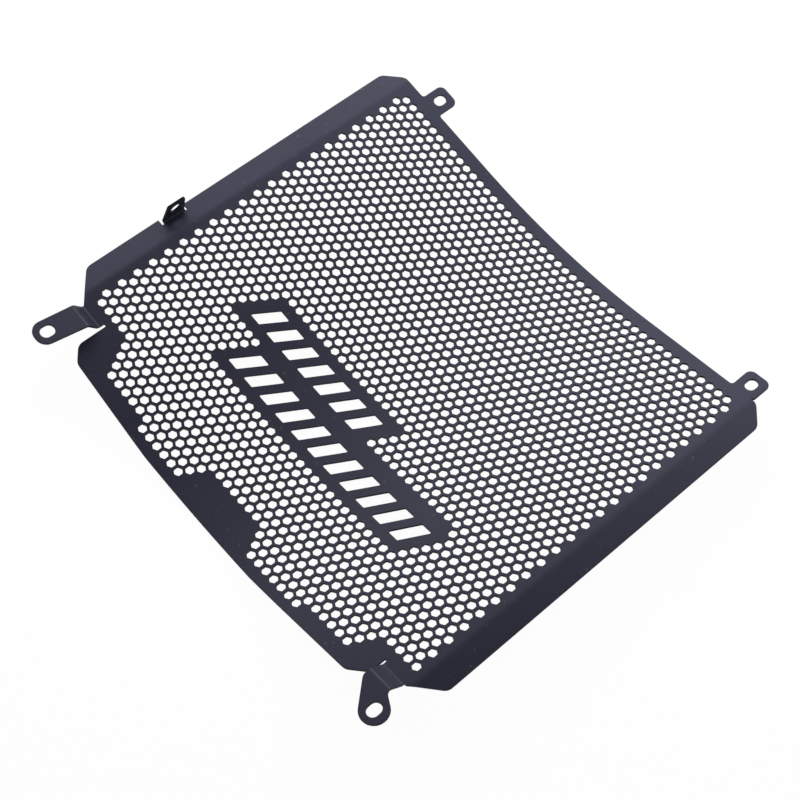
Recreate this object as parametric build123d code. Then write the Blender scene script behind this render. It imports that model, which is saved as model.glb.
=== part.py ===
from build123d import *
import os
from math import asin, atan2, ceil, cos, degrees, hypot, radians, sin, sqrt, tan

# A radiator guard: one blank of aluminium sheet, perforated, rolled and folded.
# It lies on its back: X across the roll, Y towards its upper edge, Z out of its concave front.
# Flat places on the blank are (across, up): across from the middle of the roll, up from the lower edge.

# Sheet, roll and side flanges
sheet_thickness = 1.5
sheet_height = 267.5
roll_radius = 363.0
roll_half_arc = 68.2
fold_from_middle = 143.0
fold_radius = 8.0
fold_angle = 10.0
flange_width = 13.2
flange_chamfer = 10.5
flange_corner_radius = 6.0
left_flange_foot = 41.4
right_flange_foot = 33.3

# Lower edge: a flat middle that rises a little to each side
left_lower_flat = 48.0
right_lower_flat = 40.0
lower_rise = 3.3
left_chamfer_across = 8.3
left_chamfer_up = 6.8
right_chamfer_across = 10.0
right_chamfer_up = 8.2
left_lower_edge = 120.8
right_lower_edge = 123.1
lower_corner_radius = 6.0

# Upper tabs, flat with the sheet
tab_width = 15.2
tab_height = 14.9
tab_corner_radius = 4.0
tab_slot_width = 6.2
tab_slot_length = 8.0
tab_slot_up = 7.1
left_tab_from_fold = 21.6
right_tab_from_fold = 7.0
tab_notch = 2.6
tab_notch_radius = 1.0

# Lower tabs, stepped forward of the sheet, each with a relief slit beside its root
left_relief_slit = 1.5
right_relief_slit = 1.1
step_bend_radius = 2.5
foot_slot_width = 6.6
foot_slot_length = 8.6
left_foot_root = 26.0
left_relief_depth = 2.4
left_foot_rise = 9.4
left_foot_run = 5.6
left_foot_tilt = 10.0
left_foot_lean = 5.0
left_foot_length = 28.1
left_foot_end_width = 14.1
left_foot_corner_radius = 6.5
left_foot_slot_from_step = 20.2
right_foot_root = 19.4
right_relief_depth = 1.7
right_foot_rise = 6.2
right_foot_run = 7.5
right_foot_shoulder = 4.5
right_foot_shoulder_radius = 5.0
right_foot_head_from_step = 12.5
right_foot_head_out = 10.3
right_foot_head_radius = 8.0
right_foot_throat_angle = 29.0
right_foot_throat_radius = 3.5

# Side ear: a strip of the left flange turned up square to the sheet
ear_up = 99.5
ear_width = 14.9
ear_height = 15.0
ear_taper = 3.2
ear_corner_radius = 1.5
ear_bend_radius = 1.5
ear_slit = 1.25
ear_slit_depth = 4.1
ear_hole_radius = 3.3
ear_hole_height = 9.1
ear_hole_offset = 0.9

# Perforation: hexagons in staggered rows, one flat to each side.
# The real sheet has 4.5 mm hexagons 6.2 mm apart: these are wider, with the same share of open area.
# The roll is drawn as flats one pitch wide, with creases through the hole tips, 0.07 mm off the true arc.
hole_pitch = 14.0
hole_across_flats = 10.2
row_spacing = 12.12
field_side_border = 3.75
field_top_border = 7.04
left_shelf_up = 31.0
left_shelf_from_middle = 109.9
right_shelf_up = 26.0
right_shelf_from_middle = 113.0
floor_up = 10.2
left_floor_from_middle = 65.7
right_floor_from_middle = 71.9
lowest_floor_up = 5.0
centre_patch_half = 19.9
centre_patch_up = 21.4

# Plain patch in the field, two bands one above the other, each cut by a row of slanting vents
upper_band_top = 116.0
upper_band_foot = 92.0
upper_band_left = -76.3
upper_band_right = 27.9
lower_band_top = 90.4
lower_band_foot = 65.5
lower_band_left = -59.9
lower_band_right = 93.4
band_step_up = 95.0
band_step_right = 89.9
vent_border = 4.5
vent_width = 7.5
vent_pitch = 13.5

# How far a strip runs into the piece that it is one with
seat = 1.0

wing_slope = degrees(roll_half_arc / roll_radius)
flange_slope = wing_slope - fold_angle
flange_edge = fold_from_middle + flange_width
tab_top = sheet_height + tab_height
slant = hole_pitch / 2 / row_spacing
crease_count = round(2 * roll_half_arc / hole_pitch)
crease_turn = 2 * wing_slope / crease_count
creases = [(k - (crease_count - 1) / 2) * hole_pitch for k in range(crease_count)]


def strip(start, heading, steps):
    """Section of a bent strip: from start, each step is a straight length, then a turn on a radius or sharp."""
    half = sheet_thickness / 2
    point = Vector(*start)
    front, back = [], []

    def sides(place, direction, reach):
        side = Vector(-sin(radians(direction)), cos(radians(direction))) * reach
        return place + side, place - side

    begin = sides(point, heading, half)
    for length, turn, radius in steps:
        point = point + Vector(cos(radians(heading)), sin(radians(heading))) * length
        if radius:
            end = sides(point, heading, half)
        else:
            end = sides(point, heading + turn / 2, half / cos(radians(turn / 2)))
        front.append(Line(begin[0], end[0]))
        back.append(Line(begin[1], end[1]))
        begin = end
        if radius:
            to_centre = Vector(-sin(radians(heading)), cos(radians(heading))) * (radius if turn > 0 else -radius)
            centre = point + to_centre
            middle = sides(centre - to_centre.rotate(Axis.Z, turn / 2), heading + turn / 2, half)
            point = centre - to_centre.rotate(Axis.Z, turn)
            begin = sides(point, heading + turn, half)
            front.append(ThreePointArc(end[0], middle[0], begin[0]))
            back.append(ThreePointArc(end[1], middle[1], begin[1]))
        heading = heading + turn
    caps = [Line(front[0] @ 0, back[0] @ 0), Line(front[-1] @ 1, back[-1] @ 1)]
    return make_face(front + back + caps)


def place_on_sheet(across):
    """x, z and slope in degrees of the middle of the sheet at a flat place; on a crease, half its turn."""
    side = 1 if across >= 0 else -1
    out = abs(across)
    bends = [(place, crease_turn) for place in creases if place >= 0] + [(fold_from_middle, -fold_angle)]
    x = z = reached = slope = 0
    for place, turn in bends:
        if place > out:
            break
        x += (place - reached) * cos(radians(slope))
        z += (place - reached) * sin(radians(slope))
        reached = place
        slope += turn / 2 if place in (0, out) else turn
    x += (out - reached) * cos(radians(slope))
    z += (out - reached) * sin(radians(slope))
    return side * x, z, side * slope if out else 0


def sheet_plane(across, up):
    """Plane tangent to the sheet: its x across, its y up the sheet and its z out of the front."""
    x, z, slope = place_on_sheet(across)
    return Plane((x, up, z), x_dir=(cos(radians(slope)), 0, sin(radians(slope))),
                 z_dir=(-sin(radians(slope)), 0, cos(radians(slope))))


def outline_face(corners):
    """Closed face from (x, y, corner radius) rows."""
    points = [(x, y) for x, y, _ in corners]
    return make_face(FilletPolyline(*points, radius=[r for _, _, r in corners], close=True))


def through(plane, face, reach):
    """Prism of a face drawn on a plane, reaching both ways."""
    return extrude(plane * face, amount=reach, both=True)


def inside(outline, point):
    """Even-odd test of a flat place against an outline."""
    u, y = point
    crossed = False
    for (u0, y0), (u1, y1) in zip(outline, outline[1:] + outline[:1]):
        if (y0 > y) != (y1 > y) and u < u0 + (y - y0) * (u1 - u0) / (y1 - y0):
            crossed = not crossed
    return crossed


def setback(radius, turn):
    """Length that a bend takes from each of the two straights that it joins."""
    return radius * tan(radians(turn) / 2)


# Bent sheet, before its outline is cut
fold_setback = setback(fold_radius, fold_angle)
wing_length = fold_from_middle - creases[-1]
overlong_flange = 2 * flange_width
start_x, start_z, _ = place_on_sheet(-fold_from_middle - overlong_flange)
sheet_section = strip(
    (start_x, start_z), -flange_slope,
    [(overlong_flange - fold_setback, -fold_angle, fold_radius),
     (wing_length - fold_setback, crease_turn, 0),
     *[(hole_pitch, crease_turn, 0)] * (crease_count - 1),
     (wing_length - fold_setback, -fold_angle, fold_radius),
     (overlong_flange - fold_setback, 0, 0)])
bent_sheet = extrude(Plane.XZ * sheet_section, amount=tab_top, both=True)

# Outline of the flat blank, clockwise from the left flange's upper corner
left_tab_middle = -fold_from_middle + left_tab_from_fold
right_tab_middle = fold_from_middle - right_tab_from_fold
right_tab_side = right_tab_middle + tab_width / 2
left_foot_inner = -left_lower_edge - left_relief_slit
left_foot_outer = left_foot_inner - tab_width
right_foot_inner = right_lower_edge + right_relief_slit
right_foot_outer = right_foot_inner + tab_width
ear_root = -flange_edge + ear_slit_depth
ear_half_gap = ear_width / 2 + ear_slit


def upper_tab(middle):
    """Corners of an upper tab, up its left side and down its right."""
    left, right = middle - tab_width / 2, middle + tab_width / 2
    return [(left, sheet_height, 0), (left, tab_top, tab_corner_radius),
            (right, tab_top, tab_corner_radius), (right, sheet_height, 0)]


flat_outline = [
    (-flange_edge, sheet_height - flange_chamfer, flange_corner_radius),
    (-flange_edge + flange_chamfer, sheet_height, flange_corner_radius),
    *upper_tab(left_tab_middle),
    *upper_tab(right_tab_middle)[:3],
    (right_tab_side, sheet_height + tab_notch / 2, tab_notch_radius),
    (right_tab_side - tab_notch / 2, sheet_height, 0),
    (flange_edge - flange_chamfer, sheet_height, flange_corner_radius),
    (flange_edge, sheet_height - flange_chamfer, flange_corner_radius),
    (flange_edge, right_flange_foot, flange_corner_radius),
    (right_foot_outer + right_relief_slit, right_foot_root, 0),
    (right_foot_inner, right_foot_root, 0),
    (right_foot_inner, right_foot_root + right_relief_depth, 0),
    (right_lower_edge, right_foot_root + right_relief_depth, 0),
    (right_lower_edge, lower_rise + right_chamfer_up, lower_corner_radius),
    (right_lower_edge - right_chamfer_across, lower_rise, lower_corner_radius),
    (right_lower_flat, 0, 0),
    (-left_lower_flat, 0, 0),
    (-left_lower_edge + left_chamfer_across, lower_rise, lower_corner_radius),
    (-left_lower_edge, lower_rise + left_chamfer_up, lower_corner_radius),
    (-left_lower_edge, left_foot_root + left_relief_depth, 0),
    (left_foot_inner, left_foot_root + left_relief_depth, 0),
    (left_foot_inner, left_foot_root, 0),
    (left_foot_outer, left_foot_root, 0),
    (-flange_edge, left_flange_foot, flange_corner_radius),
    (-flange_edge, ear_up - ear_half_gap, 0),
    (ear_root, ear_up - ear_half_gap, 0),
    (ear_root, ear_up + ear_half_gap, 0),
    (-flange_edge, ear_up + ear_half_gap, 0),
]
plan_outline = [(place_on_sheet(across)[0], up, radius) for across, up, radius in flat_outline]
guard = bent_sheet & extrude(outline_face(plan_outline), amount=roll_radius, both=True)


def slot(width, length):
    """Bolt slot, long way up."""
    return SlotOverall(length, width, rotation=90)


def foot(middle, root, rise, run, tilt, length):
    """Stepped strip below the sheet, still overwide, with the planes of its root and of its end."""
    climb = degrees(atan2(rise, run))
    first, second = setback(step_bend_radius, climb), setback(step_bend_radius, climb - tilt)
    web = hypot(rise, run)
    section = strip(
        (-seat, 0), 0,
        [(seat, climb, step_bend_radius),
         (web - first - second, tilt - climb, step_bend_radius),
         (length - second, 0, 0)])
    root_plane = sheet_plane(middle, root)
    section_plane = Plane(root_plane.origin, x_dir=-root_plane.y_dir, z_dir=-root_plane.x_dir)
    body = extrude(section_plane * section, amount=2 * tab_width, both=True)
    end_plane = root_plane * Location((0, -first - run, rise), (-tilt, 0, 0))
    return body, root_plane, Plane(end_plane), first + run


half_tab = tab_width / 2

# Left lower tab: a narrowing strip, tilted a little further forward and leaning outwards
left_middle = (left_foot_outer + left_foot_inner) / 2
left_body, left_plane, left_end, left_step = foot(
    left_middle, left_foot_root, left_foot_rise, left_foot_run, left_foot_tilt, left_foot_length)
left_reach = left_step + left_foot_length * cos(radians(left_foot_tilt))
left_shift = left_reach * tan(radians(left_foot_lean))
left_half_end = left_foot_end_width / 2
left_outline = outline_face([
    (-half_tab, seat, 0),
    (half_tab, seat, 0),
    (half_tab, 0, 0),
    (left_half_end - left_shift, -left_reach, left_foot_corner_radius),
    (-left_half_end - left_shift, -left_reach, left_foot_corner_radius),
    (-half_tab, 0, 0),
])
left_foot = left_body & through(left_plane, left_outline, roll_radius)
left_slot_shift = (left_step + left_foot_slot_from_step) * tan(radians(left_foot_lean))
left_slot = Pos(-left_slot_shift, -left_foot_slot_from_step) * slot(foot_slot_width, foot_slot_length)

# Right lower tab: a short arm that turns outwards to a round head
right_middle = (right_foot_outer + right_foot_inner) / 2
right_length = right_foot_head_from_step + 2 * right_foot_head_radius
right_body, right_plane, right_end, right_step = foot(
    right_middle, right_foot_root, right_foot_rise, right_foot_run, 0, right_length)
head = Vector(right_foot_head_out, -right_step - right_foot_head_from_step)
shoulder = Vector(-half_tab, -right_step - right_foot_shoulder)
to_head = head - shoulder
tangent_angle = atan2(to_head.Y, to_head.X) - asin(right_foot_head_radius / to_head.length)
head_foot = head.Y - right_foot_head_radius
head_side = head.X + right_foot_head_radius
throat = radians(right_foot_throat_angle)
throat_height = head.Y + right_foot_head_radius / cos(throat)
right_outline = outline_face([
    (-half_tab, seat, 0),
    (half_tab, seat, 0),
    (half_tab, throat_height + (head.X - half_tab) * tan(throat), right_foot_throat_radius),
    (head_side, throat_height - right_foot_head_radius * tan(throat), right_foot_head_radius),
    (head_side, head_foot, right_foot_head_radius),
    (shoulder.X + (head_foot - shoulder.Y) / tan(tangent_angle), head_foot, right_foot_head_radius),
    (shoulder.X, shoulder.Y, right_foot_shoulder_radius),
])
right_foot = right_body & through(right_plane, right_outline, roll_radius)
right_slot = Pos(head.X, -right_foot_head_from_step) * slot(foot_slot_width, foot_slot_length)

# Side ear: turned up from the bottom of its gap in the left flange, narrower towards its top
ear_turn = 90 + fold_angle
ear_x, ear_z, _ = place_on_sheet(ear_root)
flange_out = Vector(-cos(radians(flange_slope)), 0, sin(radians(flange_slope)))
ear_section = strip(
    (-seat, 0), 0,
    [(seat, ear_turn, ear_bend_radius),
     (ear_height - ear_bend_radius, 0, 0)])
ear_strip = extrude(
    Plane((ear_x, ear_up, ear_z), x_dir=flange_out, z_dir=(0, 1, 0)) * ear_section,
    amount=ear_width, both=True)
wing_in = Vector(cos(radians(wing_slope)), 0, -sin(radians(wing_slope)))
ear_foot = Vector(ear_x, ear_up, ear_z) + flange_out * setback(ear_bend_radius, ear_turn)
ear_plane = Plane(ear_foot, x_dir=(0, 1, 0), z_dir=wing_in)
ear_outline = outline_face([
    (-ear_width / 2, -ear_height, 0),
    (-ear_width / 2, ear_bend_radius, 0),
    (-ear_width / 2 + ear_taper, ear_height, ear_corner_radius),
    (ear_width / 2, ear_height, ear_corner_radius),
    (ear_width / 2, -ear_height, 0),
])
ear = ear_strip & through(ear_plane, ear_outline, ear_height)
ear_hole = Pos(ear_hole_offset, ear_hole_height) * Circle(ear_hole_radius)

# Perforated field: hexagons are kept where all their corners lie in the field and none in a plain patch
field_half = fold_from_middle - field_side_border
field_top = sheet_height - field_top_border
field = [
    (-field_half, sheet_height),
    (field_half, sheet_height),
    (field_half, right_shelf_up),
    (right_shelf_from_middle, right_shelf_up),
    (right_shelf_from_middle - slant * (right_shelf_up - floor_up), floor_up),
    (right_floor_from_middle, floor_up),
    (right_floor_from_middle, lowest_floor_up),
    (-left_floor_from_middle, lowest_floor_up),
    (-left_floor_from_middle, floor_up),
    (-left_shelf_from_middle + slant * (left_shelf_up - floor_up), floor_up),
    (-left_shelf_from_middle, left_shelf_up),
    (-field_half, left_shelf_up),
]


def band(left, right, top, foot):
    """Corners of a plain band whose ends slant with the staggered rows."""
    drift = slant * (top - foot)
    return [(left, top), (right, top), (right - drift, foot), (left - drift, foot)]


upper_band = band(upper_band_left, upper_band_right, upper_band_top, upper_band_foot)
lower_band = band(lower_band_left, lower_band_right, lower_band_top, lower_band_foot)
band_step = band(0, band_step_right, band_step_up, upper_band_foot)
spread = slant * centre_patch_up
centre_patch = [
    (-centre_patch_half, centre_patch_up),
    (centre_patch_half, centre_patch_up),
    (centre_patch_half + spread, 0),
    (-centre_patch_half - spread, 0),
]
plain = [upper_band, band_step, lower_band, centre_patch]

corner_reach = hole_across_flats / sqrt(3)
corners = [(corner_reach * sin(radians(60 * k)), corner_reach * cos(radians(60 * k))) for k in range(6)]
rows = ceil(sheet_height / row_spacing)
columns = ceil(field_half / hole_pitch)
hole_places = []
for row in range(rows):
    up = field_top - corner_reach - row * row_spacing
    shift = hole_pitch / 2 if row % 2 == 0 else 0
    for column in range(-columns, columns + 1):
        across = column * hole_pitch + shift
        tips = [(across + a, up + b) for a, b in corners]
        in_field = all(inside(field, tip) for tip in tips)
        if in_field and not any(inside(patch, tip) for patch in plain for tip in tips):
            hole_places.append((across, up))
hexagon = RegularPolygon(hole_across_flats / 2, 6, major_radius=False, rotation=30)
hole = extrude(hexagon, amount=2 * sheet_thickness, both=True)
holes = [sheet_plane(across, up).location * hole for across, up in hole_places]


def vents(left, right, top, foot):
    """Slanting vents side by side along a plain band."""
    height = top - foot - 2 * vent_border
    drift = slant * height
    room = right - left - 2 * vent_border
    count = int((room - vent_width) // vent_pitch) + 1
    middle = (left + right - slant * (top - foot)) / 2
    vent = make_face(Polyline(
        (-vent_width / 2 + drift / 2, height / 2),
        (vent_width / 2 + drift / 2, height / 2),
        (vent_width / 2 - drift / 2, -height / 2),
        (-vent_width / 2 - drift / 2, -height / 2),
        close=True))
    places = [middle + (k - (count - 1) / 2) * vent_pitch for k in range(count)]
    return [through(sheet_plane(place, (top + foot) / 2), vent, 2 * sheet_thickness) for place in places]


cuts = [
    *holes,
    *vents(upper_band_left, upper_band_right, upper_band_top, upper_band_foot),
    *vents(lower_band_left, lower_band_right, lower_band_top, lower_band_foot),
    *[through(sheet_plane(middle, sheet_height + tab_slot_up), slot(tab_slot_width, tab_slot_length),
              2 * sheet_thickness) for middle in (left_tab_middle, right_tab_middle)],
    through(left_end, left_slot, 2 * sheet_thickness),
    through(right_end, right_slot, 2 * sheet_thickness),
    through(ear_plane, ear_hole, 2 * sheet_thickness),
]
guard = guard + left_foot + right_foot + ear
guard = guard - cuts

# The origin is under the middle of the guard's box
box = guard.bounding_box()
to_origin = Location((-box.center().X, -box.center().Y, -box.min.Z))
guard = to_origin * guard
solid = guard.solids()[0]
os.makedirs("parts", exist_ok=True)
export_step(solid, "parts/radiator_guard.step")

half = sheet_thickness / 2
places = {
    "left upper slot": sheet_plane(left_tab_middle, sheet_height + tab_slot_up).location,
    "right upper slot": sheet_plane(right_tab_middle, sheet_height + tab_slot_up).location,
    "left lower slot": left_end * Location((-left_slot_shift, -left_foot_slot_from_step, 0)),
    "right lower slot": right_end * Location((head.X, -right_foot_head_from_step, 0)),
    "ear hole": ear_plane * Location((ear_hole_offset, ear_hole_height, 0)),
    "left lower seat": left_end * Location((-left_slot_shift, -left_foot_slot_from_step / 3, -half)),
    "right lower seat": right_end * Location((0, -right_foot_shoulder, -half)),
    "ear seat": ear_plane * Location((0, (ear_hole_height - ear_hole_radius + ear_bend_radius) / 2, -half)),
}
for name, place in places.items():
    plane = Plane(place)
    print(name, (to_origin * Pos(plane.origin)).position, "axis", plane.z_dir)
print("holes", len(hole_places), "box", solid.bounding_box().size)
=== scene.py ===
from math import asin, atan2, ceil, copysign, cos, degrees, hypot, radians, sin, sqrt, tan

import bpy
import numpy as np
from mathutils import Matrix, Vector
from mathutils.geometry import delaunay_2d_cdt
from mathutils.kdtree import KDTree


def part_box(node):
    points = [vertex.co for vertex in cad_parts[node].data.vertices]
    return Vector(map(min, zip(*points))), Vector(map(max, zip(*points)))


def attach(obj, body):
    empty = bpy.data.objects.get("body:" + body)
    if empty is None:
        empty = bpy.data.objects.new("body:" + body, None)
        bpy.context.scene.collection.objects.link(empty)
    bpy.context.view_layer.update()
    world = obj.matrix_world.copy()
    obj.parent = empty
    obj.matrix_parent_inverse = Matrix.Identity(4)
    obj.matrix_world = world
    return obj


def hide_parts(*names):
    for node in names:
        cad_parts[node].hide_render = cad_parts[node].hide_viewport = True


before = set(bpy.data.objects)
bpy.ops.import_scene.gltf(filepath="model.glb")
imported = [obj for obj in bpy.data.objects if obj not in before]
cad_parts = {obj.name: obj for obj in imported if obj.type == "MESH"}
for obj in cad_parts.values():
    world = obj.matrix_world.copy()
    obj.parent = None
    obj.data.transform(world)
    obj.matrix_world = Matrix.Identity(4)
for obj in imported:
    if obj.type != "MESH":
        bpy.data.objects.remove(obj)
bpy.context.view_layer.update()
MM = 0.001

# The guard is one flat blank, cut and then bent. Flat places are (across, up) in millimetres:
# across from the middle of the roll, up from the lower edge.

# Sheet, roll and side flanges
sheet_thickness = 1.5
sheet_height = 267.5
roll_radius = 363.0
roll_half_arc = 68.2
fold_from_middle = 143.0
fold_radius = 20.0
fold_angle = 10.0
flange_width = 13.2
flange_chamfer = 10.5
flange_corner_radius = 6.0
left_flange_foot = 41.4
right_flange_foot = 33.3

# Lower edge
left_lower_flat = 48.0
right_lower_flat = 40.0
lower_rise = 3.3
left_chamfer_across = 8.3
left_chamfer_up = 6.8
right_chamfer_across = 10.0
right_chamfer_up = 8.2
left_lower_edge = 120.8
right_lower_edge = 123.1
lower_corner_radius = 6.0

# Upper tabs
tab_width = 15.2
tab_height = 14.9
tab_corner_radius = 4.0
tab_root_radius = 1.8
tab_slot_width = 6.2
tab_slot_length = 8.0
tab_slot_up = 7.1
left_tab_from_fold = 21.6
right_tab_from_fold = 7.0
tab_notch = 2.6
tab_notch_radius = 1.0

# Lower tabs
left_relief_slit = 1.5
right_relief_slit = 1.1
step_bend_radius = 2.5
foot_slot_width = 6.6
foot_slot_length = 8.6
left_foot_root = 26.0
left_relief_depth = 2.4
left_foot_rise = 9.4
left_foot_run = 5.6
left_foot_tilt = 10.0
left_foot_lean = 5.0
left_foot_length = 28.1
left_foot_end_width = 14.1
left_foot_corner_radius = 6.5
left_foot_slot_from_step = 20.2
right_foot_root = 19.4
right_relief_depth = 1.7
right_foot_rise = 6.2
right_foot_run = 7.5
right_foot_shoulder = 4.5
right_foot_shoulder_radius = 5.0
right_foot_head_from_step = 12.5
right_foot_head_out = 10.3
right_foot_head_radius = 8.0
right_foot_throat_angle = 29.0
right_foot_throat_radius = 3.5

# Side ear
ear_up = 99.5
ear_width = 14.9
ear_height = 15.0
ear_taper = 3.2
ear_corner_radius = 1.5
ear_bend_radius = 1.5
ear_slit = 1.25
ear_slit_depth = 4.1
ear_hole_radius = 3.3
ear_hole_height = 9.1
ear_hole_offset = 0.9

# Perforation, at its real pitch
hole_pitch = 6.2
hole_across_flats = 4.54
hole_corner_cut = 0.28
row_spacing = 5.3
field_side_border = 3.75
field_top_border = 7.02
left_shelf_up = 31.0
left_shelf_from_middle = 109.9
right_shelf_up = 26.0
right_shelf_from_middle = 113.0
floor_up = 10.2
left_floor_from_middle = 65.7
right_floor_from_middle = 71.9
lowest_floor_up = 5.0
centre_patch_half = 19.9
centre_patch_up = 21.4

# Plain patch and its vents
upper_band_top = 116.0
upper_band_foot = 92.0
upper_band_left = -76.3
upper_band_right = 27.9
lower_band_top = 90.4
lower_band_foot = 65.5
lower_band_left = -59.9
lower_band_right = 93.4
band_step_up = 95.0
band_step_right = 89.9
vent_border = 4.5
vent_width = 7.5
vent_pitch = 13.5
vent_corner_radius = 0.8

# Mesh: rounded cut edges, and how finely outlines and bends are divided
edge_radius = 0.3
hole_edge_radius = 0.15
hole_wear = 0.2
edge_parts = 2
longest_edge = 6.0
shortest_edge = 0.05
merge_distance = 1e-4
arc_step = radians(12)
straight_below = 0.01
bend_parts = 4
bend_inset = 0.06
bend_line_outer = 1.3
clear_of_edge = 2.5
near_hole_share = 0.7
smooth_below = cos(radians(35))

# Texture map: the stretch of the blank that it covers, and the share of its true length that a wall gets
chart_half = 178.0
chart_low = 24.0
chart_height = 312.0
wall_share = 0.45

# Coat, with noise scales per metre
coat_dark = (0.021, 0.022, 0.04, 1)
coat_light = (0.029, 0.03, 0.055, 1)
coat_sheen = (0.74, 0.76, 1.0, 1)
edge_colour = (0.10, 0.10, 0.13, 1)
# Painted shade: the walls of holes and cut edges get a near-black colour, and less specular below, standing
# in for the shade they sit in
painted_wall_shade = (0.008, 0.008, 0.012, 1)
dust_colour = (0.12, 0.12, 0.13, 1)
mottle_scale = 22.0
mottle_detail = 4.0
mottle_roughness = 0.6
grain_scale = 900.0
grain_detail = 3.0
grain_roughness = 0.55
grain_strength = 0.12
grain_depth = 0.0002
dust_scale = 330.0
dust_detail = 1.0
dust_from = 0.71
dust_full = 0.78
dust_cover = 0.45
least_roughness = 0.36
most_roughness = 0.5
face_specular = 0.64
wall_specular = 0.1

# Floor, room and lamps, in metres and watts
white = (1, 1, 1, 1)
floor_colour = (0.85, 0.85, 0.85, 1)
floor_glow = 0.93
floor_strength = 1.04
floor_half = 4
floor_drop = 0.0005
room_colour = (0.12, 0.12, 0.12, 1)
horizon_top = 0.05
room_top = 0.35
lamp_width = 0.8
lamp_height = 0.45
upper_lamp_place = (-0.1, 0.62, 0.5)
upper_lamp_power = 2.2
left_lamp_place = (-0.55, 0.15, 0.5)
left_lamp_power = 1.9

# Camera at the photograph's viewing angle, in metres, with its lens in millimetres
camera_place = Vector((0.27835, -0.28915, 0.73245))
camera_aim = Vector((-0.32227, 0.33953, -0.88366))
camera_up = Vector((-0.68046, 0.56586, 0.46559))
focal_length = 67.76
sensor_width = 36.0

# What follows from those sizes
half_sheet = sheet_thickness / 2
wing_slope = degrees(roll_half_arc / roll_radius)
flange_edge = fold_from_middle + flange_width
tab_top = sheet_height + tab_height
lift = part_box("radiator_guard")[1][1] / MM - tab_top
bend_line_inner = min(left_relief_slit, right_relief_slit) / 2
left_tab = -fold_from_middle + left_tab_from_fold
right_tab = fold_from_middle - right_tab_from_fold
slant = hole_pitch / 2 / row_spacing
half_tab = tab_width / 2
ear_turn = 90 + fold_angle
ear_root = -flange_edge + ear_slit_depth
ear_half_gap = ear_width / 2 + ear_slit


def setback(radius, turn):
    """Length that a bend takes from each of the two straights that it joins."""
    return radius * tan(radians(turn) / 2)


def along(steps, length):
    """Place and heading on a path of (straight, turn, radius) steps, at a length from its start."""
    x = y = heading = 0.0
    for straight, turn, radius in steps:
        run = min(length, straight)
        x += run * cos(heading)
        y += run * sin(heading)
        length -= run
        turned = copysign(min(length, radius * abs(radians(turn))) / radius, turn)
        side = copysign(radius, turn)
        x += side * (sin(heading + turned) - sin(heading))
        y -= side * (cos(heading + turned) - cos(heading))
        heading += turned
        length -= abs(turned) * radius
    return x + length * cos(heading), y + length * sin(heading), heading


# From the middle of the roll outwards to a flange
fold_setback = setback(fold_radius, fold_angle)
sheet_path = [
    (0, wing_slope, roll_radius),
    (fold_from_middle - roll_half_arc - fold_setback, -fold_angle, fold_radius),
]
ear_path = [(0, ear_turn, ear_bend_radius)]


class Foot:
    """A lower tab: where it joins the sheet, the path that it is bent to and its flat levels."""

    def __init__(self, middle, root, rise, run, tilt):
        climb = degrees(atan2(rise, run))
        second = setback(step_bend_radius, climb - tilt)
        web = hypot(rise, run) - setback(step_bend_radius, climb) - second
        self.middle = middle
        self.root = root
        self.path = [(0, climb, step_bend_radius), (web, tilt - climb, step_bend_radius)]
        self.first_arc = step_bend_radius * radians(climb)
        self.second_arc = step_bend_radius * radians(climb - tilt)
        self.web = web
        self.step = self.first_arc + web + self.second_arc - second
        self.reach = setback(step_bend_radius, climb) + run

    def up(self, beyond):
        """Flat level at a length beyond the second bend line."""
        return self.root - self.step - beyond

    def bend_levels(self):
        """Flat levels of the lines that divide the two bends."""
        parts = [k / bend_parts for k in range(bend_parts + 1)]
        lengths = [max(bend_inset, part * self.first_arc) for part in parts]
        lengths += [self.first_arc + self.web + part * self.second_arc for part in parts]
        return [self.root - length for length in lengths]


left_foot_inner = -left_lower_edge - left_relief_slit
right_foot_inner = right_lower_edge + right_relief_slit
right_foot_outer = right_foot_inner + tab_width
left_foot = Foot(left_foot_inner - half_tab, left_foot_root, left_foot_rise, left_foot_run, left_foot_tilt)
right_foot = Foot(right_foot_inner + half_tab, right_foot_root, right_foot_rise, right_foot_run, 0)


def on_sheet(across, up):
    """Place on the middle of the bent sheet, with its directions across, up and out of the front."""
    x, z, slope = along(sheet_path, abs(across))
    x, slope = copysign(x, across), copysign(slope, across)
    return (Vector((x, up, z)), Vector((cos(slope), 0, sin(slope))), Vector((0, 1, 0)),
            Vector((-sin(slope), 0, cos(slope))))


def on_foot(foot, across, up):
    """The same on a lower tab, which steps forward of the flat wing."""
    root, side, rise, front = on_sheet(foot.middle, foot.root)
    down, out, heading = along(foot.path, foot.root - up)
    place = root + side * (across - foot.middle) - rise * down + front * out
    return (place, side, rise * cos(heading) - front * sin(heading),
            front * cos(heading) + rise * sin(heading))


def on_ear(across, up):
    """The same on the side ear, which is turned up from the left flange."""
    root, side, rise, front = on_sheet(ear_root, up)
    out, height, heading = along(ear_path, ear_root - across)
    return (root - side * out + front * height, side * cos(heading) - front * sin(heading), rise,
            front * cos(heading) + side * sin(heading))


def bend(across, up, region):
    """Place and directions of a flat place, by the part of the blank that it belongs to."""
    if region == "ear":
        return on_ear(across, up)
    if region == "left foot":
        return on_foot(left_foot, across, up)
    if region == "right foot":
        return on_foot(right_foot, across, up)
    return on_sheet(across, up)


def region_of(across, up):
    """The part of the blank that a flat place belongs to."""
    if across < ear_root and abs(up - ear_up) < ear_half_gap - ear_slit / 2:
        return "ear"
    if up < left_foot_root and across < -left_lower_edge - left_relief_slit / 2:
        return "left foot"
    if up < right_foot_root and across > right_lower_edge + right_relief_slit / 2:
        return "right foot"
    return "sheet"


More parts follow.
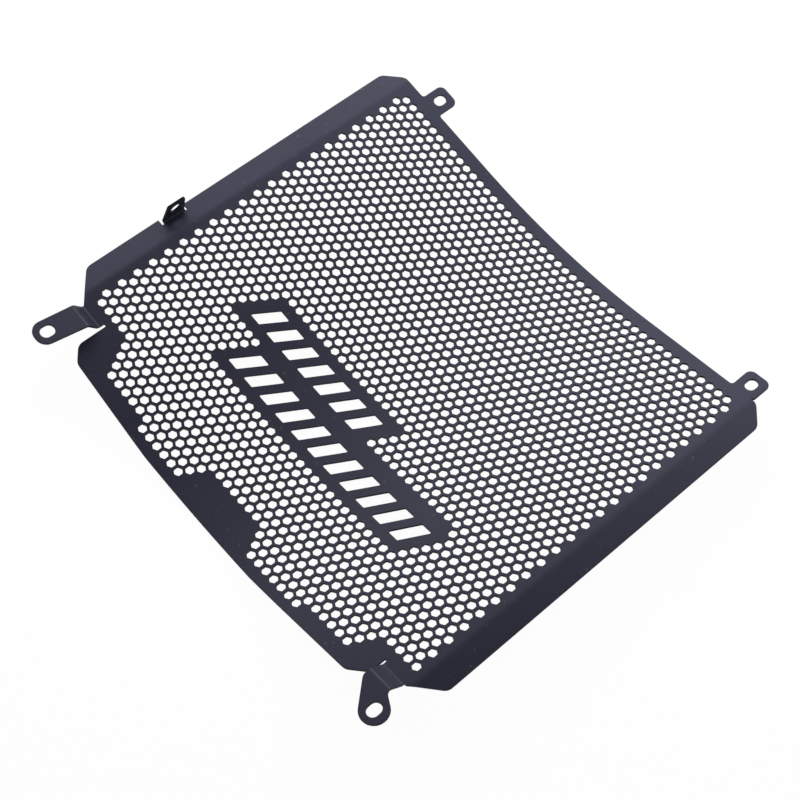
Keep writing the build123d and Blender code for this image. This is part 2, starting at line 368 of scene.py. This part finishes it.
def rounded(corners):
    """Closed outline from (across, up, corner radius) rows, with the round corners as arc points."""
    points = []
    for k, (x, y, radius) in enumerate(corners):
        here = Vector((x, y))
        back = (Vector(corners[k - 1][:2]) - here).normalized()
        ahead = (Vector(corners[(k + 1) % len(corners)][:2]) - here).normalized()
        turn = np.pi - back.angle(ahead)
        if not radius or turn < straight_below:
            points.append(here)
            continue
        centre = here + (back + ahead).normalized() * radius / cos(turn / 2)
        start = here + back * radius * tan(turn / 2) - centre
        sense = copysign(1, ahead.x * back.y - ahead.y * back.x)
        count = max(2, ceil(turn / arc_step))
        for part in range(count + 1):
            points.append(centre + Matrix.Rotation(sense * turn * part / count, 2) @ start)
    return [here for k, here in enumerate(points) if (here - points[k - 1]).length > shortest_edge]


def divided(points):
    """The same outline with its long edges divided."""
    result = []
    for here, ahead in zip(points, points[1:] + points[:1]):
        count = max(1, ceil((ahead - here).length / longest_edge))
        result += [here.lerp(ahead, part / count) for part in range(count)]
    return result


def grown(points, distance):
    """A closed outline moved sideways to its left, with its corners kept."""
    result = []
    for k, here in enumerate(points):
        before = (here - points[k - 1]).normalized()
        after = (points[(k + 1) % len(points)] - here).normalized()
        side = Vector((-before.y - after.y, before.x + after.x)).normalized()
        result.append(here + side * distance / side.dot(Vector((-before.y, before.x))))
    return result


def slot_outline(middle, up, width, length):
    """Bolt slot, long way up, anticlockwise."""
    flat = (length - width) / 2
    count = round(np.pi / arc_step)
    turns = [np.pi * part / count for part in range(count + 1)]
    ends = [(flat, 0), (-flat, np.pi)]
    return [Vector((middle + width / 2 * cos(turn + start), up + shift + width / 2 * sin(turn + start)))
            for shift, start in ends for turn in turns]


def upper_tab(middle):
    """Corners of an upper tab, up its left side and down its right."""
    left, right = middle - half_tab, middle + half_tab
    return [(left, sheet_height, tab_root_radius), (left, tab_top, tab_corner_radius),
            (right, tab_top, tab_corner_radius), (right, sheet_height, tab_root_radius)]


def left_foot_side(side):
    """Corners down a side of the left lower tab, which narrows and leans outwards: 1 is its inner side."""
    end = left_foot.step + left_foot_length
    whole = along(left_foot.path, end)[0]
    corners = []
    for length, radius in ((0, 0), (left_foot.step, 0), (end, left_foot_corner_radius)):
        reach = along(left_foot.path, length)[0]
        half_width = half_tab + (left_foot_end_width / 2 - half_tab) * reach / whole
        across = left_foot.middle - reach * tan(radians(left_foot_lean)) + side * half_width
        corners.append((across, left_foot.root - length, radius))
    return corners


right_head = Vector((right_foot.middle + right_foot_head_out, right_foot.up(right_foot_head_from_step)))


def right_foot_corners():
    """Corners of the right lower tab, from its outer root round its head to its inner root."""
    shoulder = Vector((right_foot_inner, right_foot.up(right_foot_shoulder)))
    to_head = right_head - shoulder
    tangent = atan2(to_head.y, to_head.x) - asin(right_foot_head_radius / to_head.length)
    end = right_head.y - right_foot_head_radius
    side = right_head.x + right_foot_head_radius
    throat = radians(right_foot_throat_angle)
    level = right_head.y + right_foot_head_radius / cos(throat)
    throat_level = level + (right_head.x - right_foot_outer) * tan(throat)
    return [(right_foot_outer, throat_level, right_foot_throat_radius),
            (side, level - right_foot_head_radius * tan(throat), right_foot_head_radius),
            (side, end, right_foot_head_radius),
            (shoulder.x + (end - shoulder.y) / tan(tangent), end, right_foot_head_radius),
            (shoulder.x, shoulder.y, right_foot_shoulder_radius)]


def ear_across(height):
    """Flat place across of a height on the ear, from the flange that it is turned up from."""
    straight = height - setback(ear_bend_radius, ear_turn)
    return ear_root - ear_bend_radius * radians(ear_turn) - straight


def blank_outline():
    """Outline of the flat blank, clockwise from the left flange's upper corner."""
    right_tab_side = right_tab + half_tab
    low, high = ear_up - ear_width / 2, ear_up + ear_width / 2
    ear_top, ear_bend_end = ear_across(ear_height), ear_across(ear_bend_radius)
    return rounded([
        (-flange_edge, sheet_height - flange_chamfer, flange_corner_radius),
        (-flange_edge + flange_chamfer, sheet_height, flange_corner_radius),
        *upper_tab(left_tab),
        *upper_tab(right_tab)[:3],
        (right_tab_side, sheet_height + tab_notch / 2, tab_notch_radius),
        (right_tab_side - tab_notch / 2, sheet_height, 0),
        (flange_edge - flange_chamfer, sheet_height, flange_corner_radius),
        (flange_edge, sheet_height - flange_chamfer, flange_corner_radius),
        (flange_edge, right_flange_foot, flange_corner_radius),
        (right_foot_outer + right_relief_slit, right_foot_root, 0),
        (right_foot_outer, right_foot_root, 0),
        *right_foot_corners(),
        (right_foot_inner, right_foot_root + right_relief_depth, 0),
        (right_lower_edge, right_foot_root + right_relief_depth, 0),
        (right_lower_edge, lower_rise + right_chamfer_up, lower_corner_radius),
        (right_lower_edge - right_chamfer_across, lower_rise, lower_corner_radius),
        (right_lower_flat, 0, 0),
        (-left_lower_flat, 0, 0),
        (-left_lower_edge + left_chamfer_across, lower_rise, lower_corner_radius),
        (-left_lower_edge, lower_rise + left_chamfer_up, lower_corner_radius),
        (-left_lower_edge, left_foot_root + left_relief_depth, 0),
        (left_foot_inner, left_foot_root + left_relief_depth, 0),
        *left_foot_side(1),
        *reversed(left_foot_side(-1)),
        (-flange_edge, left_flange_foot, flange_corner_radius),
        (-flange_edge, ear_up - ear_half_gap, 0),
        (ear_root, ear_up - ear_half_gap, 0),
        (ear_root, low, 0),
        (ear_bend_end, low, 0),
        (ear_top, low + ear_taper, ear_corner_radius),
        (ear_top, high, ear_corner_radius),
        (ear_root, high, 0),
        (ear_root, ear_up + ear_half_gap, 0),
        (-flange_edge, ear_up + ear_half_gap, 0),
    ])


def inside(outline, points):
    """Even-odd test of flat places, an array of rows, against an outline."""
    across, up = points[:, 0], points[:, 1]
    crossed = np.zeros(len(points), bool)
    corners = [tuple(corner) for corner in outline]
    for (x0, y0), (x1, y1) in zip(corners, corners[1:] + corners[:1]):
        if y0 != y1:
            level = (y0 > up) != (y1 > up)
            crossed ^= level & (across < x0 + (up - y0) * (x1 - x0) / (y1 - y0))
    return crossed


def band(left, right, top, foot):
    """Corners of a plain band whose ends slant with the staggered rows."""
    drift = slant * (top - foot)
    return [(left, top), (right, top), (right - drift, foot), (left - drift, foot)]


def lattice():
    """Places of the perforation's holes, and the places of the lattice that stay plain."""
    field_half = fold_from_middle - field_side_border
    field = [
        (-field_half, sheet_height),
        (field_half, sheet_height),
        (field_half, right_shelf_up),
        (right_shelf_from_middle, right_shelf_up),
        (right_shelf_from_middle - slant * (right_shelf_up - floor_up), floor_up),
        (right_floor_from_middle, floor_up),
        (right_floor_from_middle, lowest_floor_up),
        (-left_floor_from_middle, lowest_floor_up),
        (-left_floor_from_middle, floor_up),
        (-left_shelf_from_middle + slant * (left_shelf_up - floor_up), floor_up),
        (-left_shelf_from_middle, left_shelf_up),
        (-field_half, left_shelf_up),
    ]
    spread = slant * centre_patch_up
    plain = [
        band(upper_band_left, upper_band_right, upper_band_top, upper_band_foot),
        band(0, band_step_right, band_step_up, upper_band_foot),
        band(lower_band_left, lower_band_right, lower_band_top, lower_band_foot),
        [(-centre_patch_half, centre_patch_up), (centre_patch_half, centre_patch_up),
         (centre_patch_half + spread, 0), (-centre_patch_half - spread, 0)],
    ]
    tips = np.array(hexagon(Vector((0, 0)), hole_across_flats))
    first_row = sheet_height - field_top_border - tips[:, 1].max()
    columns = ceil(fold_from_middle / hole_pitch)
    places = []
    for row in range(ceil(sheet_height / row_spacing)):
        shift = 0.5 if row % 2 == 0 else 0
        places += [((column + shift) * hole_pitch, first_row - row * row_spacing)
                   for column in range(-columns, columns + 1)]
    places = np.array(places)
    kept = np.ones(len(places), bool)
    for tip in tips:
        kept &= inside(field, places + tip)
        for patch in plain:
            kept &= ~inside(patch, places + tip)
    return places[kept], places[~kept]


def hexagon(centre, across_flats):
    """Corners of a hole with one flat to each side, anticlockwise."""
    reach = across_flats / sqrt(3)
    turns = [radians(60 * k) for k in range(6)]
    return [centre + Vector((-reach * sin(turn), reach * cos(turn))) for turn in turns]


def hole_outline(centre, across_flats):
    """Outline of a hole with its corners cut off, anticlockwise."""
    corners = hexagon(centre, across_flats)
    outline = []
    for before, corner, after in zip(corners[-1:] + corners, corners, corners[1:] + corners[:1]):
        outline += [corner + (beside - corner).normalized() * hole_corner_cut for beside in (before, after)]
    return outline


def vents(left, right, top, foot):
    """Outlines of the slanting vents side by side along a plain band, anticlockwise."""
    height = top - foot - 2 * vent_border
    drift = slant * height
    count = int((right - left - 2 * vent_border - vent_width) // vent_pitch) + 1
    middle = (left + right - slant * (top - foot)) / 2
    level = (top + foot) / 2
    outlines = []
    for k in range(count):
        place = middle + (k - (count - 1) / 2) * vent_pitch
        low, high = place - drift / 2, place + drift / 2
        outlines.append(rounded([
            (high - vent_width / 2, level + height / 2, vent_corner_radius),
            (low - vent_width / 2, level - height / 2, vent_corner_radius),
            (low + vent_width / 2, level - height / 2, vent_corner_radius),
            (high + vent_width / 2, level + height / 2, vent_corner_radius),
        ]))
    return outlines


def bolt_holes():
    """Outlines of the bolt slots and of the ear's hole, anticlockwise."""
    slots = [slot_outline(middle, sheet_height + tab_slot_up, tab_slot_width, tab_slot_length)
             for middle in (left_tab, right_tab)]
    lean = (left_foot.reach + left_foot_slot_from_step) * tan(radians(left_foot_lean))
    slots.append(slot_outline(left_foot.middle - lean, left_foot.up(left_foot_slot_from_step),
                              foot_slot_width, foot_slot_length))
    slots.append(slot_outline(right_head.x, right_head.y, foot_slot_width, foot_slot_length))
    ear_hole = Vector((ear_across(ear_hole_height), ear_up + ear_hole_offset))
    count = round(2 * np.pi / arc_step)
    turns = [2 * np.pi * part / count for part in range(count)]
    slots.append([ear_hole + ear_hole_radius * Vector((cos(turn), sin(turn))) for turn in turns])
    return slots


def bend_lines():
    """Flat lines, as point rows, along which the mesh is divided so that its bends stay round."""
    lines = []
    parts = [k / bend_parts for k in range(bend_parts + 1)]
    for side, foot_up in ((-1, left_foot_root), (1, right_foot_root)):
        rise = tab_top - foot_up
        count = ceil(rise / longest_edge)
        for part in parts:
            across = side * (fold_from_middle + fold_setback * (2 * part - 1))
            lines.append([Vector((across, foot_up + rise * k / count)) for k in range(count + 1)])
    for foot, side in ((left_foot, -1), (right_foot, 1)):
        inner = foot.middle - side * (half_tab + bend_line_inner)
        outer = foot.middle + side * bend_line_outer * half_tab
        for level in foot.bend_levels():
            lines.append([Vector((inner, level)), Vector((outer, level))])
    ear_arc = ear_bend_radius * radians(ear_turn)
    ear_parts = 2 * bend_parts
    reach = ear_half_gap - ear_slit / 2
    for part in range(ear_parts + 1):
        across = ear_root - max(bend_inset, ear_arc * part / ear_parts)
        lines.append([Vector((across, ear_up - reach)), Vector((across, ear_up + reach))])
    return lines


def tree_of(places):
    """Search tree of flat places."""
    tree = KDTree(len(places))
    for k, place in enumerate(places):
        tree.insert((*place, 0), k)
    tree.balance()
    return tree


def flat_mesh():
    """Flat places and triangles of the blank inside its rounded edges, and the places of its holes."""
    outer = grown(divided(blank_outline()), -edge_radius)
    openings = vents(upper_band_left, upper_band_right, upper_band_top, upper_band_foot)
    openings += vents(lower_band_left, lower_band_right, lower_band_top, lower_band_foot)
    openings += bolt_holes()
    openings = [grown(divided(opening), -edge_radius) for opening in openings]
    holes, plain = lattice()
    reach = hole_across_flats / 2 + hole_edge_radius

    rows, edges = [], []
    loops = [outer, *openings, *[hole_outline(Vector(place), 2 * reach) for place in holes]]
    for loop in loops:
        edges += [(len(rows) + k, len(rows) + (k + 1) % len(loop)) for k in range(len(loop))]
        rows += loop
    for line in bend_lines():
        edges += [(len(rows) + k, len(rows) + k + 1) for k in range(len(line) - 1)]
        rows += line

    # The roll's plain places are divided too, so that they stay round
    level = plain[:, 1]
    rolled = plain[(np.abs(plain[:, 0]) < roll_half_arc + hole_pitch) & (level > lower_rise + clear_of_edge)
                   & (level < sheet_height - clear_of_edge)]
    for opening in openings:
        rolled = rolled[~inside(grown(opening, -clear_of_edge), rolled)]
    rows += [Vector(place) for place in rolled]

    flat, _, triangles, *_ = delaunay_2d_cdt(rows, edges, [], 0, merge_distance)
    flat, triangles = np.array(flat), np.array(triangles)
    middles = flat[triangles].mean(1)
    kept = inside(outer, middles)
    for opening in openings:
        kept &= ~inside(opening, middles)
    tree = tree_of(holes)
    offsets = np.array([middle - holes[tree.find((*middle, 0))[1]] for middle in middles])
    flats = np.array([(cos(radians(60 * k)), sin(radians(60 * k))) for k in range(3)])
    kept &= np.abs(offsets @ flats.T).max(1) > reach
    triangles = triangles[kept]
    first = flat[triangles[:, 1]] - flat[triangles[:, 0]]
    second = flat[triangles[:, 2]] - flat[triangles[:, 0]]
    turned = first[:, 0] * second[:, 1] < first[:, 1] * second[:, 0]
    triangles[turned] = triangles[turned, ::-1]
    return flat, triangles, holes


def rim(radius):
    """Section of a cut edge, front to back: rows of (out from the face, height, normal's turn, wear)."""
    turns = [radians(90) * k / edge_parts for k in range(edge_parts + 1)]
    front = [(radius * sin(turn), half_sheet - radius * (1 - cos(turn)), turn, sin(2 * turn))
             for turn in turns]
    return front + [(out, -height, np.pi - turn, wear) for out, height, turn, wear in reversed(front)]


def hole_rim(radius):
    """The same for a small hole, rounded on the front only."""
    return [(0, half_sheet, 0, 0.0),
            (radius, half_sheet - radius, radians(90), hole_wear),
            (radius, -half_sheet, radians(90), 0.0)]


def developed(section):
    """Length along a section of a cut edge at each of its rows, as laid in the chart."""
    lengths = [0.0]
    for (out, height, *_), (next_out, next_height, *_) in zip(section, section[1:]):
        lengths.append(lengths[-1] + wall_share * hypot(next_out - out, next_height - height))
    return lengths


def build_guard():
    """The bent sheet: front, back and the walls of its edges, with normals, chart and masks."""
    flat, triangles, holes = flat_mesh()
    places, faces, frames = [], [], []
    face_normals, face_uvs, face_masks = [], [], []
    for across, up in flat:
        region = region_of(across, up)
        frames.append((region, *bend(across, up, region)))

    def add(place):
        places.append((place + Vector((0, lift, half_sheet))) * MM)
        return len(places) - 1

    front = [add(place + normal * half_sheet) for _, place, _, _, normal in frames]

    # Each edge of just one triangle is a cut edge
    used = {}
    for a, b, c in triangles:
        for pair in ((a, b), (b, c), (c, a)):
            used[pair] = True
    cut = [pair for pair in used if pair[::-1] not in used]
    ahead = {a: b for a, b in cut}
    behind = {b: a for a, b in cut}

    def outward(a, b):
        run = Vector(flat[b] - flat[a]).normalized()
        return Vector((run.y, -run.x))

    tree = tree_of(holes)
    near = near_hole_share * hole_across_flats
    near_hole = {here: tree.find((*flat[here], 0))[2] < near for here in ahead}

    # A ring of places round each cut edge's section, from the front to the back
    sections = {False: rim(edge_radius), True: hole_rim(hole_edge_radius)}
    lengths = {small: developed(section) for small, section in sections.items()}
    rings, corner_uvs, sides, back = {}, {}, {}, {}
    for here in ahead:
        region = frames[here][0]
        before, after = outward(behind[here], here), outward(here, ahead[here])
        miter = (before + after) / (1 + before.dot(after))
        section = sections[near_hole[here]]
        ring, ring_uvs = [front[here]], [tuple(flat[here])]
        for (out, height, *_), length in zip(section[1:], lengths[near_hole[here]][1:]):
            across, up = Vector(flat[here]) + miter * out
            place, _, _, side_normal = bend(across, up, region)
            ring.append(add(place + side_normal * height))
            ring_uvs.append(tuple(Vector(flat[here]) + miter * length))
        rings[here], corner_uvs[here] = ring, ring_uvs
        back[here] = ring[-1]
        smooth = before.dot(after) > smooth_below
        middle = (before + after).normalized()
        sides[here] = (middle, middle) if smooth else (before, after)
    for here, (_, place, _, _, normal) in enumerate(frames):
        if here not in back:
            back[here] = add(place - normal * half_sheet)

    for corners in triangles:
        faces.append([front[k] for k in corners])
        face_normals += [frames[k][4] for k in corners]
        face_uvs += [chart(flat[k], 0) for k in corners]
        corners = corners[::-1]
        faces.append([back[k] for k in corners])
        face_normals += [-frames[k][4] for k in corners]
        face_uvs += [chart(flat[k], 1) for k in corners]
        face_masks += [(0.0, 0.0)] * 6
    for a, b in cut:
        section = sections[near_hole[a]]
        for row in range(len(section) - 1):
            for k, step in ((b, row), (a, row), (a, row + 1), (b, row + 1)):
                _, _, across_dir, up_dir, normal = frames[k]
                side = sides[k][1] if k == a else sides[k][0]
                outwards = across_dir * side.x + up_dir * side.y
                turn, wear = section[step][2:]
                face_masks.append((wear, sin(turn)))
                face_normals.append(normal * cos(turn) + outwards * sin(turn))
                face_uvs.append(chart(corner_uvs[k][step], 0))
            faces.append([rings[b][row], rings[a][row], rings[a][row + 1], rings[b][row + 1]])
    return sheet_object(places, faces, face_normals, face_uvs, face_masks)


def sheet_object(places, faces, face_normals, face_uvs, face_masks):
    """Object of the sheet's mesh, with a normal, a chart place and two masks for each face corner."""
    mesh = bpy.data.meshes.new("guard_sheet")
    mesh.from_pydata(places, [], faces)
    mesh.polygons.foreach_set("use_smooth", [True] * len(faces))
    uv_map = mesh.uv_layers.new(name="OFBake")
    uv_map.uv.foreach_set("vector", np.array(face_uvs).ravel())
    for name, mask in zip(("wear", "wall"), np.array(face_masks).T):
        mesh.attributes.new(name, "FLOAT", "CORNER").data.foreach_set("value", mask)
    mesh.normals_split_custom_set([normal.normalized() for normal in face_normals])
    sheet = bpy.data.objects.new("guard_sheet", mesh)
    bpy.context.scene.collection.objects.link(sheet)
    return sheet


def chart(place, half_of_map):
    """Place in the texture map: the front in one half, the back in the other."""
    across = (place[0] + chart_half) / (2 * chart_half)
    up = (place[1] + chart_low) / chart_height
    return (across + half_of_map) / 2, up


def nodes_of(owner):
    """Empty node tree of a material or world, with a way to add linked nodes."""
    owner.use_nodes = True
    tree = owner.node_tree
    tree.nodes.clear()

    def add(kind, inputs=(), **settings):
        node = tree.nodes.new(kind)
        for name, value in settings.items():
            setattr(node, name, value)
        for name, value in dict(inputs).items():
            socket = node.inputs[name]
            if isinstance(value, bpy.types.NodeSocket):
                tree.links.new(value, socket)
            else:
                socket.default_value = value
        return node

    return add


def coat_material():
    """Satin bluish-black coat on sheet metal: soft mottling, fine grain, lighter worn edges, and painted
    shade that darkens the walls of holes and cut edges.
    """
    material = bpy.data.materials.new("black_coat")
    add = nodes_of(material)
    place = add("ShaderNodeTexCoord").outputs["Object"]
    mottle = add("ShaderNodeTexNoise", {
        "Vector": place, "Scale": mottle_scale, "Detail": mottle_detail, "Roughness": mottle_roughness,
    }).outputs["Fac"]
    grain = add("ShaderNodeTexNoise", {
        "Vector": place, "Scale": grain_scale, "Detail": grain_detail, "Roughness": grain_roughness,
    }).outputs["Fac"]
    dust = add("ShaderNodeTexNoise", {
        "Vector": place, "Scale": dust_scale, "Detail": dust_detail,
    }).outputs["Fac"]
    wear = add("ShaderNodeAttribute", attribute_name="wear").outputs["Fac"]
    wall = add("ShaderNodeAttribute", attribute_name="wall").outputs["Fac"]

    def mixed(share, first, second):
        inputs = {"Factor": share, "A": first, "B": second}
        return add("ShaderNodeMix", inputs, data_type="RGBA").outputs["Result"]

    speck = add("ShaderNodeMapRange", {
        "Value": dust, "From Min": dust_from, "From Max": dust_full, "To Max": dust_cover})
    worn = add("ShaderNodeMath", {0: wear, 1: mottle}, operation="MULTIPLY")
    tone = mixed(mottle, coat_dark, coat_light)
    grained = mixed(grain, tone, coat_light)
    dusty = mixed(speck.outputs["Result"], grained, dust_colour)
    # Painted shade: darkens the walls of holes and cut edges
    wall_shaded = mixed(wall, dusty, painted_wall_shade)
    colour = mixed(worn.outputs["Value"], wall_shaded, edge_colour)
    roughness = add("ShaderNodeMapRange", {
        "Value": mottle, "To Min": least_roughness, "To Max": most_roughness})
    specular = add("ShaderNodeMapRange", {"Value": wall, "To Min": face_specular, "To Max": wall_specular})
    bump = add("ShaderNodeBump", {"Height": grain, "Strength": grain_strength, "Distance": grain_depth})
    shader = add("ShaderNodeBsdfPrincipled", {
        "Base Color": colour, "Roughness": roughness.outputs["Result"],
        "Normal": bump.outputs["Normal"], "Specular IOR Level": specular.outputs["Result"],
        "Specular Tint": coat_sheen})
    add("ShaderNodeOutputMaterial", {"Surface": shader.outputs["BSDF"]})
    return material


def seen_directly(add):
    """One for rays from the camera and for what metal and glass show, else zero."""
    path = add("ShaderNodeLightPath")
    either = add("ShaderNodeMath", {0: path.outputs["Is Camera Ray"], 1: path.outputs["Is Glossy Ray"]},
                 operation="MAXIMUM")
    return add("ShaderNodeMath", {0: either.outputs["Value"], 1: path.outputs["Is Transmission Ray"]},
               operation="MAXIMUM").outputs["Value"]


def floor_material():
    """Plain white floor that keeps a faint shadow."""
    material = bpy.data.materials.new("floor")
    add = nodes_of(material)
    glow = add("ShaderNodeMath", {0: seen_directly(add), 1: floor_glow}, operation="MULTIPLY")
    diffuse = add("ShaderNodeBsdfDiffuse", {"Color": floor_colour})
    emission = add("ShaderNodeEmission", {"Color": white, "Strength": floor_strength})
    mixed = add("ShaderNodeMixShader", {
        0: glow.outputs["Value"], 1: diffuse.outputs["BSDF"], 2: emission.outputs["Emission"]})
    add("ShaderNodeOutputMaterial", {"Surface": mixed.outputs["Shader"]})
    return material


def soft_light(name, place, power):
    """Rectangular lamp that faces the guard."""
    lamp = bpy.data.lights.new(name, "AREA")
    lamp.shape = "RECTANGLE"
    lamp.size = lamp_width
    lamp.size_y = lamp_height
    lamp.energy = power
    light = bpy.data.objects.new(name, lamp)
    light.location = place
    light.rotation_euler = Vector(place).to_track_quat("Z", "Y").to_euler()
    bpy.context.scene.collection.objects.link(light)


def room_world():
    """Surround that is pale low down and dim overhead."""
    world = bpy.data.worlds.new("surround")
    add = nodes_of(world)
    place = add("ShaderNodeTexCoord").outputs["Generated"]
    direction = add("ShaderNodeSeparateXYZ", {"Vector": place})
    height = add("ShaderNodeMapRange", {
        "Value": direction.outputs["Z"], "From Min": horizon_top, "From Max": room_top})
    surround = add("ShaderNodeMix", {"Factor": height.outputs["Result"], "A": white, "B": room_colour},
                   data_type="RGBA")
    background = add("ShaderNodeBackground", {"Color": surround.outputs["Result"]})
    add("ShaderNodeOutputWorld", {"Surface": background.outputs["Background"]})
    return world


guard = build_guard()
guard.data.materials.append(coat_material())
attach(guard, "root")
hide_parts("radiator_guard")

floor_mesh = bpy.data.meshes.new("floor")
floor_corners = [(x * floor_half, y * floor_half, 0) for x, y in ((-1, -1), (1, -1), (1, 1), (-1, 1))]
floor_mesh.from_pydata(floor_corners, [], [(0, 1, 2, 3)])
floor_mesh.materials.append(floor_material())
floor = bpy.data.objects.new("floor", floor_mesh)
floor.location.z = -floor_drop
bpy.context.scene.collection.objects.link(floor)

# Two soft lamps, beyond the upper edge and to the left
soft_light("upper", upper_lamp_place, upper_lamp_power)
soft_light("left", left_lamp_place, left_lamp_power)
bpy.context.scene.world = room_world()

camera_side = camera_aim.cross(camera_up).normalized()
lens = bpy.data.cameras.new("camera")
lens.lens = focal_length
lens.sensor_width = sensor_width
camera = bpy.data.objects.new("camera", lens)
camera.matrix_world = Matrix.Translation(camera_place) @ Matrix(
    (camera_side, camera_side.cross(camera_aim), -camera_aim)).transposed().to_4x4()
bpy.context.scene.collection.objects.link(camera)
bpy.context.scene.camera = camera
bpy.context.scene.view_settings.view_transform = "Standard"
